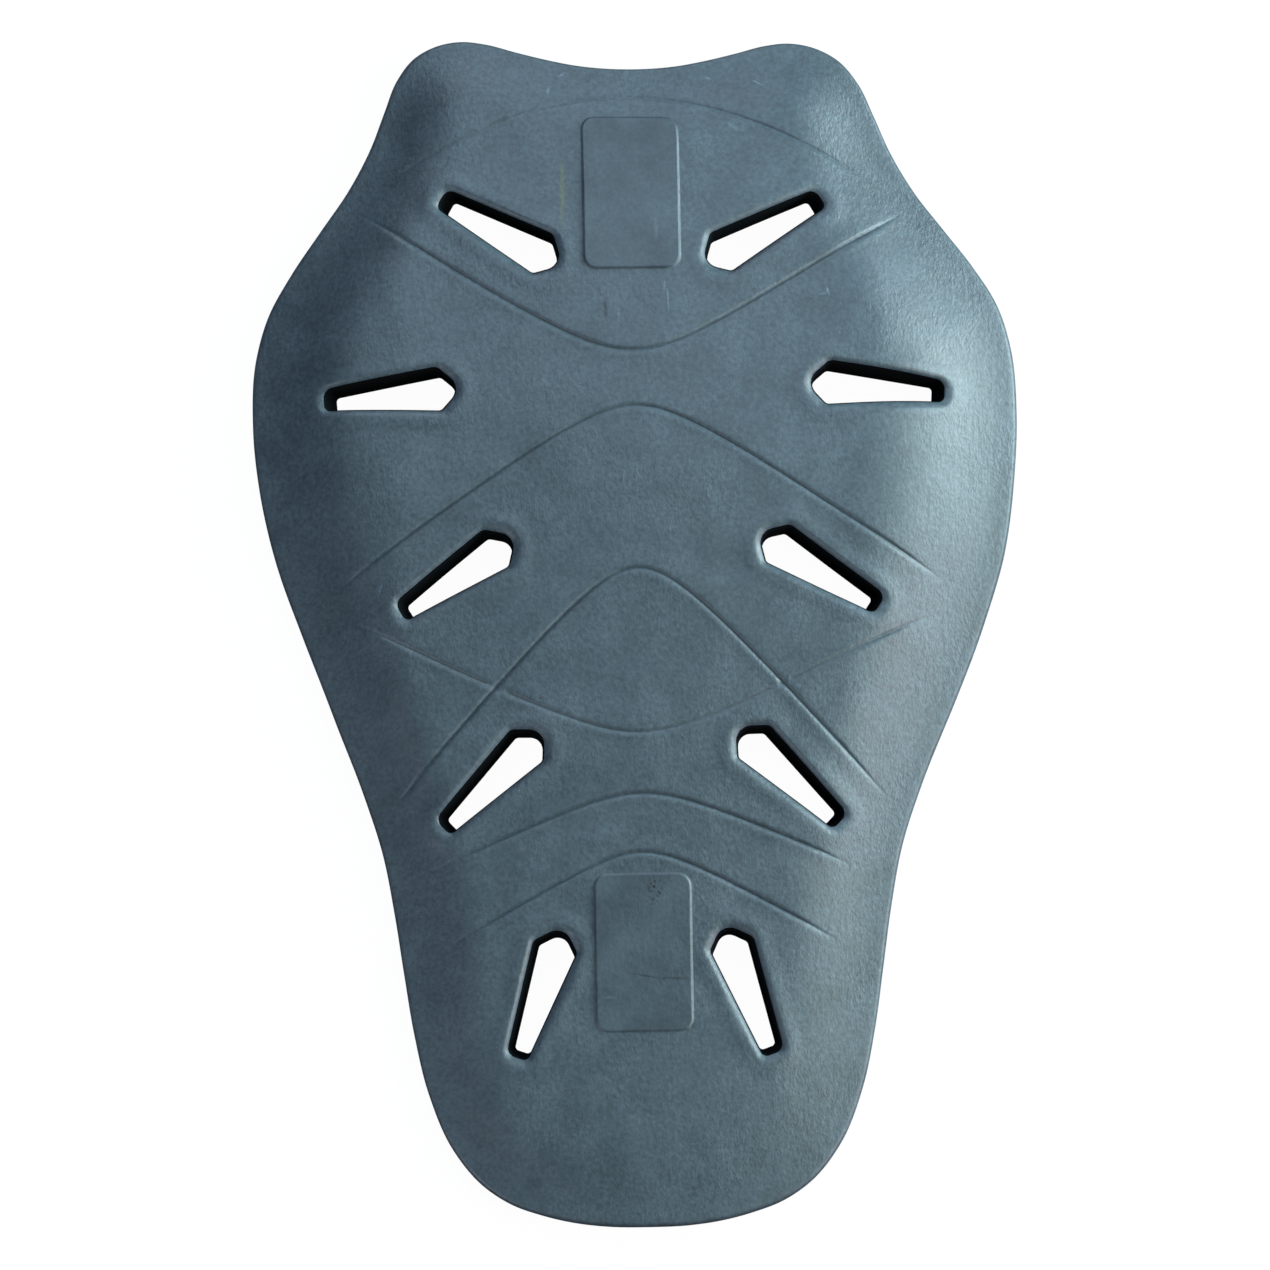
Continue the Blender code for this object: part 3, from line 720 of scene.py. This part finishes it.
def stitch_face(loops, loose, upward):
    """Triangles between an outer boundary, the holes inside it and the loose points. The first loop is
    the boundary. The points keep their order: loop after loop, then the loose ones."""
    points = np.vstack(loops + [loose])
    counts = [len(loop) for loop in loops]
    starts = np.concatenate([[0], np.cumsum(counts)[:-1]])
    edges = []
    owner = np.full(len(points), -1)
    for k, (first, count) in enumerate(zip(starts, counts)):
        here = np.arange(first, first + count)
        edges += np.column_stack([here, np.roll(here, -1)]).tolist()
        owner[here] = k
    made = delaunay_2d_cdt([Vector(p) for p in points.tolist()], edges, [], 0, 1e-8)
    flat, triangles = np.array(made[0]), np.array(made[2])
    if len(flat) != len(points) or np.abs(flat - points).max() > 1e-6:
        raise RuntimeError("the outline and the vents of a face cross")
    corner = points[triangles]
    turn = np.cross(corner[:, 1] - corner[:, 0], corner[:, 2] - corner[:, 0])
    triangles = np.where((turn > 0)[:, None], triangles, triangles[:, ::-1])
    owners = owner[triangles]
    one_loop = (owners == owners[:, :1]).all(axis=1) & (owners[:, 0] >= 0)
    middles = points[triangles].mean(axis=1)
    drop = one_loop & (owners[:, 0] > 0)
    rim_only = np.flatnonzero(one_loop & (owners[:, 0] == 0))
    drop[rim_only] = ~inside_loop(middles[rim_only], loops[0])
    triangles = triangles[~drop]
    return points, triangles if upward else triangles[:, ::-1], starts


def wall_faces(levels):
    """Quads between the loops of vertex numbers in levels, which all have the same count."""
    quads = []
    for upper, lower in zip(levels[:-1], levels[1:]):
        quads.append(np.column_stack([upper, np.roll(upper, -1), np.roll(lower, -1), lower]))
    return np.vstack(quads)


def build_pad_mesh():
    """The whole pad as one closed mesh: the outer and the inner face, stitched to the rings of the rim
    and of the vents. The panels' tops get the second material, and the vents' walls under the
    rounding of their mouths the third, a near-black one that is painted shade."""
    rim = rim_rings()
    vents = [vent_rings(row, side) for row in VENTS for side in (1, -1)]
    walls = [rim] + vents
    backs = [rings[-1][0] for rings in vents]
    tops = [rings[0][0] for rings in walls]
    outer, outer_triangles, outer_starts = stitch_face(tops, outer_points(), True)
    inner, inner_triangles, inner_starts = stitch_face([rim[-1][0]] + backs, inner_points(backs), False)
    outer_z = outer_height(outer)
    inner_z = inner_height(inner)
    vertices = [np.column_stack([outer, outer_z]), np.column_stack([inner, inner_z])]
    total = len(outer) + len(inner)
    triangles = [outer_triangles, inner_triangles + len(outer)]
    quads, painted_shade_slots = [], []
    for rings, top, bottom in zip(walls, outer_starts, inner_starts):
        count = len(rings[0][0])
        around = np.arange(count)
        levels = [top + around]
        for loop, heights in rings[1:-1]:
            vertices.append(np.column_stack([loop, heights]))
            levels.append(total + around)
            total += count
        levels.append(len(outer) + bottom + around)
        quads.append(wall_faces(levels))
        rows = np.arange(len(levels) - 1)
        # Rings under the mouth's rounding, down to the back round, get the near-black material: painted
        # shade
        in_shade = (rows >= WALL_FROM) & (rows < len(rows) - WALL_BACK) & (rings is not rim)
        painted_shade_slots.append(np.repeat(np.where(in_shade, 2, 0), count))
    points = leaned(np.vstack(vertices))
    points[:, 2] -= points[:, 2].min()
    faces = np.vstack(triangles).tolist() + np.vstack(quads).tolist()
    mesh = bpy.data.meshes.new("back_pad_foam")
    mesh.from_pydata(points.tolist(), [], faces)
    middles = outer[outer_triangles].mean(axis=1)
    slots = np.zeros(len(faces), np.int32)
    for share in PANELS:
        slots[:len(middles)][inside_rectangle(middles, share * HALF_LENGTH) > 0.3 * PANEL_EDGE] = 1
    slots[-len(np.vstack(quads)):] = np.concatenate(painted_shade_slots)
    mesh.polygons.foreach_set("material_index", slots)
    mesh.polygons.foreach_set("use_smooth", np.ones(len(faces), bool))
    mesh.update()
    return mesh


def node(tree, kind, values=None, **settings):
    """Adds a shader node, with settings as its own properties and values for its inputs."""
    made = tree.nodes.new(kind)
    for name, value in settings.items():
        setattr(made, name, value)
    for name, value in (values or {}).items():
        made.inputs[name].default_value = value
    return made


def new_group(name, inputs, outputs):
    """An empty node group with named inputs (name, socket type, default) and outputs (name, type)."""
    group = bpy.data.node_groups.new(name, "ShaderNodeTree")
    for label, kind, default in inputs:
        socket = group.interface.new_socket(label, in_out="INPUT", socket_type=kind)
        if default is not None:
            socket.default_value = default
    for label, kind in outputs:
        group.interface.new_socket(label, in_out="OUTPUT", socket_type=kind)
    return group, group.nodes.new("NodeGroupInput"), group.nodes.new("NodeGroupOutput")


def moulded_grain_group():
    """Height of the skin that foam takes from its mould: fine pebbles, drawn out a little along Y."""
    group, start, end = new_group(
        "moulded_grain",
        [("Position", "NodeSocketVector", None),
         ("Pebble Scale", "NodeSocketFloat", 1250.0),
         ("Patch Scale", "NodeSocketFloat", 30.0)],
        [("Height", "NodeSocketFloat")])
    stretch = node(group, "ShaderNodeVectorMath", operation="MULTIPLY")
    stretch.inputs[1].default_value = (1.0, 0.62, 1.0)
    fine = node(group, "ShaderNodeTexNoise", {"Detail": 2.5, "Roughness": 0.62})
    coarse = node(group, "ShaderNodeTexNoise", {"Detail": 1.0, "Roughness": 0.5})
    patch = node(group, "ShaderNodeTexNoise", {"Detail": 1.0})
    third = node(group, "ShaderNodeMath", operation="MULTIPLY")
    third.inputs[1].default_value = 0.42
    strength = node(group, "ShaderNodeMapRange",
                    {"From Min": 0.35, "From Max": 0.65, "To Min": 0.45, "To Max": 1.0})
    mix = node(group, "ShaderNodeMath", operation="ADD")
    shaped = node(group, "ShaderNodeMath", operation="MULTIPLY")
    link = group.links.new
    link(start.outputs["Position"], stretch.inputs[0])
    link(stretch.outputs[0], fine.inputs["Vector"])
    link(stretch.outputs[0], coarse.inputs["Vector"])
    link(start.outputs["Position"], patch.inputs["Vector"])
    link(start.outputs["Pebble Scale"], fine.inputs["Scale"])
    link(start.outputs["Pebble Scale"], third.inputs[0])
    link(third.outputs[0], coarse.inputs["Scale"])
    link(start.outputs["Patch Scale"], patch.inputs["Scale"])
    link(fine.outputs["Fac"], mix.inputs[0])
    link(coarse.outputs["Fac"], mix.inputs[1])
    link(patch.outputs["Fac"], strength.inputs["Value"])
    link(mix.outputs[0], shaped.inputs[0])
    link(strength.outputs["Result"], shaped.inputs[1])
    link(shaped.outputs[0], end.inputs["Height"])
    return group


def foam_tone_group():
    """Colour of the foam: a base tone that drifts between a darker and a lighter one in soft clouds,
    with a fine speckle."""
    group, start, end = new_group(
        "foam_tone",
        [("Position", "NodeSocketVector", None),
         ("Dark Tone", "NodeSocketColor", (0.08, 0.13, 0.16, 1)),
         ("Light Tone", "NodeSocketColor", (0.10, 0.15, 0.18, 1)),
         ("Cloud Scale", "NodeSocketFloat", 58.0),
         ("Speckle", "NodeSocketFloat", 0.10)],
        [("Color", "NodeSocketColor"), ("Cloud", "NodeSocketFloat")])
    cloud = node(group, "ShaderNodeTexNoise", {"Detail": 5.0, "Roughness": 0.6})
    fine = node(group, "ShaderNodeTexNoise", {"Scale": 620.0, "Detail": 2.0, "Roughness": 0.6})
    spread = node(group, "ShaderNodeMapRange", {"From Min": 0.32, "From Max": 0.68})
    blend = node(group, "ShaderNodeMix", data_type="RGBA")
    speck = node(group, "ShaderNodeMapRange",
                 {"From Min": 0.3, "From Max": 0.7, "To Min": -1.0, "To Max": 1.0})
    amount = node(group, "ShaderNodeMath", operation="MULTIPLY")
    gain = node(group, "ShaderNodeMath", operation="ADD")
    gain.inputs[1].default_value = 1.0
    scale = node(group, "ShaderNodeVectorMath", operation="SCALE")
    link = group.links.new
    link(start.outputs["Position"], cloud.inputs["Vector"])
    link(start.outputs["Position"], fine.inputs["Vector"])
    link(start.outputs["Cloud Scale"], cloud.inputs["Scale"])
    link(cloud.outputs["Fac"], spread.inputs["Value"])
    link(spread.outputs["Result"], blend.inputs["Factor"])
    link(start.outputs["Dark Tone"], blend.inputs["A"])
    link(start.outputs["Light Tone"], blend.inputs["B"])
    link(fine.outputs["Fac"], speck.inputs["Value"])
    link(speck.outputs["Result"], amount.inputs[0])
    link(start.outputs["Speckle"], amount.inputs[1])
    link(amount.outputs[0], gain.inputs[0])
    link(blend.outputs["Result"], scale.inputs[0])
    link(gain.outputs[0], scale.inputs["Scale"])
    link(scale.outputs[0], end.inputs["Color"])
    link(spread.outputs["Result"], end.inputs["Cloud"])
    return group


def stroke_group():
    """Mask of one long oval mark with soft, broken edges, at a place and turn of its own."""
    group, start, end = new_group(
        "stroke",
        [("Position", "NodeSocketVector", None),
         ("Place", "NodeSocketVector", (0, 0, 0)),
         ("Turn", "NodeSocketFloat", 0.0),
         ("Half Size", "NodeSocketVector", (0.005, 0.001, 1.0)),
         ("Strength", "NodeSocketFloat", 0.3)],
        [("Mask", "NodeSocketFloat")])
    offset = node(group, "ShaderNodeVectorMath", operation="SUBTRACT")
    turned = node(group, "ShaderNodeVectorRotate", rotation_type="Z_AXIS", invert=True)
    scaled = node(group, "ShaderNodeVectorMath", operation="DIVIDE")
    radius = node(group, "ShaderNodeVectorMath", operation="LENGTH")
    broken = node(group, "ShaderNodeTexNoise", {"Scale": 800.0, "Detail": 2.0})
    ragged = node(group, "ShaderNodeMath", operation="ADD")
    edge = node(group, "ShaderNodeMapRange", {"From Min": 1.5, "From Max": 0.6},
                interpolation_type="SMOOTHSTEP")
    gain = node(group, "ShaderNodeMath", operation="MULTIPLY")
    link = group.links.new
    link(start.outputs["Position"], offset.inputs[0])
    link(start.outputs["Place"], offset.inputs[1])
    link(offset.outputs[0], turned.inputs["Vector"])
    link(start.outputs["Turn"], turned.inputs["Angle"])
    link(turned.outputs[0], scaled.inputs[0])
    link(start.outputs["Half Size"], scaled.inputs[1])
    link(scaled.outputs[0], radius.inputs[0])
    link(start.outputs["Position"], broken.inputs["Vector"])
    link(radius.outputs["Value"], ragged.inputs[0])
    link(broken.outputs["Fac"], ragged.inputs[1])
    link(ragged.outputs[0], edge.inputs["Value"])
    link(edge.outputs["Result"], gain.inputs[0])
    link(start.outputs["Strength"], gain.inputs[1])
    link(gain.outputs[0], end.inputs["Mask"])
    return group


def add_stroke(tree, stroke, position, row):
    """One stroke node set to a row of MARKS. Returns its mask's socket."""
    x, y, turn, length, width, strength = row
    mark = node(tree, "ShaderNodeGroup")
    mark.node_tree = stroke
    mark.inputs["Place"].default_value = (x, y, 0.0)
    mark.inputs["Turn"].default_value = math.radians(turn)
    mark.inputs["Half Size"].default_value = (length / 2, width / 2, 1.0)
    mark.inputs["Strength"].default_value = strength
    tree.links.new(position, mark.inputs["Position"])
    return mark.outputs["Mask"]


def marks_and_pit_shade_group(stroke):
    """Handling marks, and painted shade in pits: how much lighter or darker the skin is, and where the
    faint stain lies. The pits are painted shade: dark dots of a Voronoi pattern inside one oval."""
    group, start, end = new_group(
        "handling_marks_and_pit_shade",
        [("Position", "NodeSocketVector", None)],
        [("Gain", "NodeSocketFloat"), ("Stain", "NodeSocketFloat")])
    link = group.links.new
    position = start.outputs["Position"]
    # Dark dots for the pits: painted shade
    dots = node(group, "ShaderNodeTexVoronoi", {"Scale": 720.0, "Randomness": 1.0})
    small = node(group, "ShaderNodeMapRange", {"From Min": 0.46, "From Max": 0.30})
    area = node(group, "ShaderNodeMath", operation="MULTIPLY")
    total = node(group, "ShaderNodeMath", operation="MULTIPLY_ADD")
    total.inputs[1].default_value = -1.0
    total.inputs[2].default_value = 1.0
    link(position, dots.inputs["Vector"])
    link(dots.outputs["Distance"], small.inputs["Value"])
    link(small.outputs["Result"], area.inputs[0])
    link(add_stroke(group, stroke, position, PIT_SHADE), area.inputs[1])
    link(area.outputs[0], total.inputs[0])
    for row in MARKS:
        step = node(group, "ShaderNodeMath", operation="ADD")
        link(total.outputs[0], step.inputs[0])
        link(add_stroke(group, stroke, position, row), step.inputs[1])
        total = step
    link(total.outputs[0], end.inputs["Gain"])
    link(add_stroke(group, stroke, position, STAIN), end.inputs["Stain"])
    return group


def foam_material(groups, name, dark, light, speckle, grain_depth, roughness, specular):
    """Moulded foam, by a row of FOAMS: its tone, grain and marks from the groups, and a soft sheen; the
    walls' near-black row is painted shade.
    """
    material = bpy.data.materials.new(name)
    material.use_nodes = True
    tree = material.node_tree
    shader = tree.nodes["Principled BSDF"]
    place = node(tree, "ShaderNodeTexCoord")
    tone = node(tree, "ShaderNodeGroup")
    tone.node_tree = groups["tone"]
    tone.inputs["Dark Tone"].default_value = dark
    tone.inputs["Light Tone"].default_value = light
    tone.inputs["Speckle"].default_value = speckle
    grain = node(tree, "ShaderNodeGroup")
    grain.node_tree = groups["grain"]
    marks = node(tree, "ShaderNodeGroup")
    marks.node_tree = groups["marks"]
    marked = node(tree, "ShaderNodeVectorMath", operation="SCALE")
    stained = node(tree, "ShaderNodeMix", data_type="RGBA")
    stained.inputs["B"].default_value = STAIN_TONE
    bump = node(tree, "ShaderNodeBump", {"Strength": 1.0, "Distance": grain_depth})
    gloss = node(tree, "ShaderNodeMapRange", {"To Min": roughness - 0.03, "To Max": roughness + 0.04})
    link = tree.links.new
    link(place.outputs["Object"], tone.inputs["Position"])
    link(place.outputs["Object"], grain.inputs["Position"])
    link(place.outputs["Object"], marks.inputs["Position"])
    link(tone.outputs["Color"], marked.inputs[0])
    link(marks.outputs["Gain"], marked.inputs["Scale"])
    link(marked.outputs[0], stained.inputs["A"])
    link(marks.outputs["Stain"], stained.inputs["Factor"])
    link(stained.outputs["Result"], shader.inputs["Base Color"])
    link(tone.outputs["Cloud"], gloss.inputs["Value"])
    link(gloss.outputs["Result"], shader.inputs["Roughness"])
    link(grain.outputs["Height"], bump.inputs["Height"])
    link(bump.outputs["Normal"], shader.inputs["Normal"])
    shader.inputs["Specular IOR Level"].default_value = specular
    return material


def floor_material():
    """Pale studio floor. The camera sees it lit up to near white with a faint shadow, and it throws
    little light back up under the pad."""
    material = bpy.data.materials.new("studio_floor")
    material.use_nodes = True
    tree = material.node_tree
    tree.nodes.clear()
    out = node(tree, "ShaderNodeOutputMaterial")
    path = node(tree, "ShaderNodeLightPath")
    seen = node(tree, "ShaderNodeAddShader")
    glow = node(tree, "ShaderNodeEmission", {"Color": (1, 1, 1, 1), "Strength": 0.97})
    shade = node(tree, "ShaderNodeBsdfDiffuse", {"Color": (0.03, 0.03, 0.03, 1)})
    under = node(tree, "ShaderNodeBsdfDiffuse", {"Color": (0.04, 0.04, 0.04, 1)})
    mix = node(tree, "ShaderNodeMixShader")
    link = tree.links.new
    link(glow.outputs[0], seen.inputs[0])
    link(shade.outputs[0], seen.inputs[1])
    link(path.outputs["Is Camera Ray"], mix.inputs[0])
    link(under.outputs[0], mix.inputs[1])
    link(seen.outputs[0], mix.inputs[2])
    link(mix.outputs[0], out.inputs["Surface"])
    return material


def add_floor():
    """A wide flat floor, which isn't a piece of the part."""
    corners = [(x * FLOOR_REACH, y * FLOOR_REACH, 0) for x, y in ((-1, -1), (1, -1), (1, 1), (-1, 1))]
    mesh = bpy.data.meshes.new("studio_floor")
    mesh.from_pydata(corners, [], [(0, 1, 2, 3)])
    mesh.materials.append(floor_material())
    floor = bpy.data.objects.new("studio_floor", mesh)
    bpy.context.scene.collection.objects.link(floor)


def add_world():
    """Weak even light, and a pale backdrop for the camera."""
    world = bpy.data.worlds.new("studio")
    bpy.context.scene.world = world
    world.use_nodes = True
    tree = world.node_tree
    tree.nodes.clear()
    out = node(tree, "ShaderNodeOutputWorld")
    path = node(tree, "ShaderNodeLightPath")
    fill = node(tree, "ShaderNodeBackground", {"Color": (0.90, 0.95, 1.0, 1), "Strength": 0.02})
    seen = node(tree, "ShaderNodeBackground", {"Color": (0.96, 0.96, 0.96, 1), "Strength": 1.0})
    mix = node(tree, "ShaderNodeMixShader")
    tree.links.new(path.outputs["Is Camera Ray"], mix.inputs[0])
    tree.links.new(fill.outputs[0], mix.inputs[1])
    tree.links.new(seen.outputs[0], mix.inputs[2])
    tree.links.new(mix.outputs[0], out.inputs["Surface"])


def add_soft_light(name, turn, height, power, colour):
    """A square soft box on a dome over the pad, in a direction given by its turn from +X towards +Y
    and its height over the horizon. It faces the pad and isn't seen itself."""
    turn, height = math.radians(turn), math.radians(height)
    level = math.cos(height)
    toward = Vector((level * math.cos(turn), level * math.sin(turn), math.sin(height)))
    data = bpy.data.lights.new(name, "AREA")
    data.size = LIGHT_SIZE
    data.energy = power
    data.color = colour
    light = bpy.data.objects.new(name, data)
    light.location = toward * LIGHT_DISTANCE
    light.rotation_euler = (-toward).to_track_quat("-Z", "Y").to_euler()
    light.visible_camera = False
    bpy.context.scene.collection.objects.link(light)


def add_camera():
    """Camera over the pad, a little off square towards its lower end and turned a little, far enough
    away to see it almost without perspective."""
    lean = math.radians(CAMERA_LEAN)
    roll = math.radians(CAMERA_ROLL)
    back = Vector((0.0, -math.sin(lean), math.cos(lean)))
    right = Vector((1.0, 0.0, 0.0))
    up = back.cross(right)
    turned_right = right * math.cos(roll) - up * math.sin(roll)
    turned_up = back.cross(turned_right)
    aim = Vector((0.0, 0.0, AIM_HEIGHT)) + turned_right * AIM_RIGHT + turned_up * AIM_UP
    data = bpy.data.cameras.new("photo_camera")
    data.sensor_width = SENSOR_WIDTH
    data.lens = SENSOR_WIDTH * CAMERA_DISTANCE / PICTURE_WIDTH
    camera = bpy.data.objects.new("photo_camera", data)
    axes = Matrix((turned_right, turned_up, back)).transposed().to_4x4()
    camera.matrix_world = Matrix.Translation(aim + back * CAMERA_DISTANCE) @ axes
    bpy.context.scene.collection.objects.link(camera)
    bpy.context.scene.camera = camera


def main():
    bpy.context.scene.view_settings.view_transform = "Standard"
    add_camera()
    add_floor()
    add_world()
    for name, turn, height, power, colour in SOFT_LIGHTS:
        add_soft_light(name, turn, height, power, colour)

    groups = {"grain": moulded_grain_group(), "tone": foam_tone_group(),
              "marks": marks_and_pit_shade_group(stroke_group())}
    mesh = build_pad_mesh()
    for row in FOAMS:
        mesh.materials.append(foam_material(groups, *row))
    pad = bpy.data.objects.new("back_pad_foam", mesh)
    bpy.context.scene.collection.objects.link(pad)
    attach(pad, "root")
    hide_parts("back_pad")
    print("triangles", sum(len(p.vertices) - 2 for p in mesh.polygons))


main()
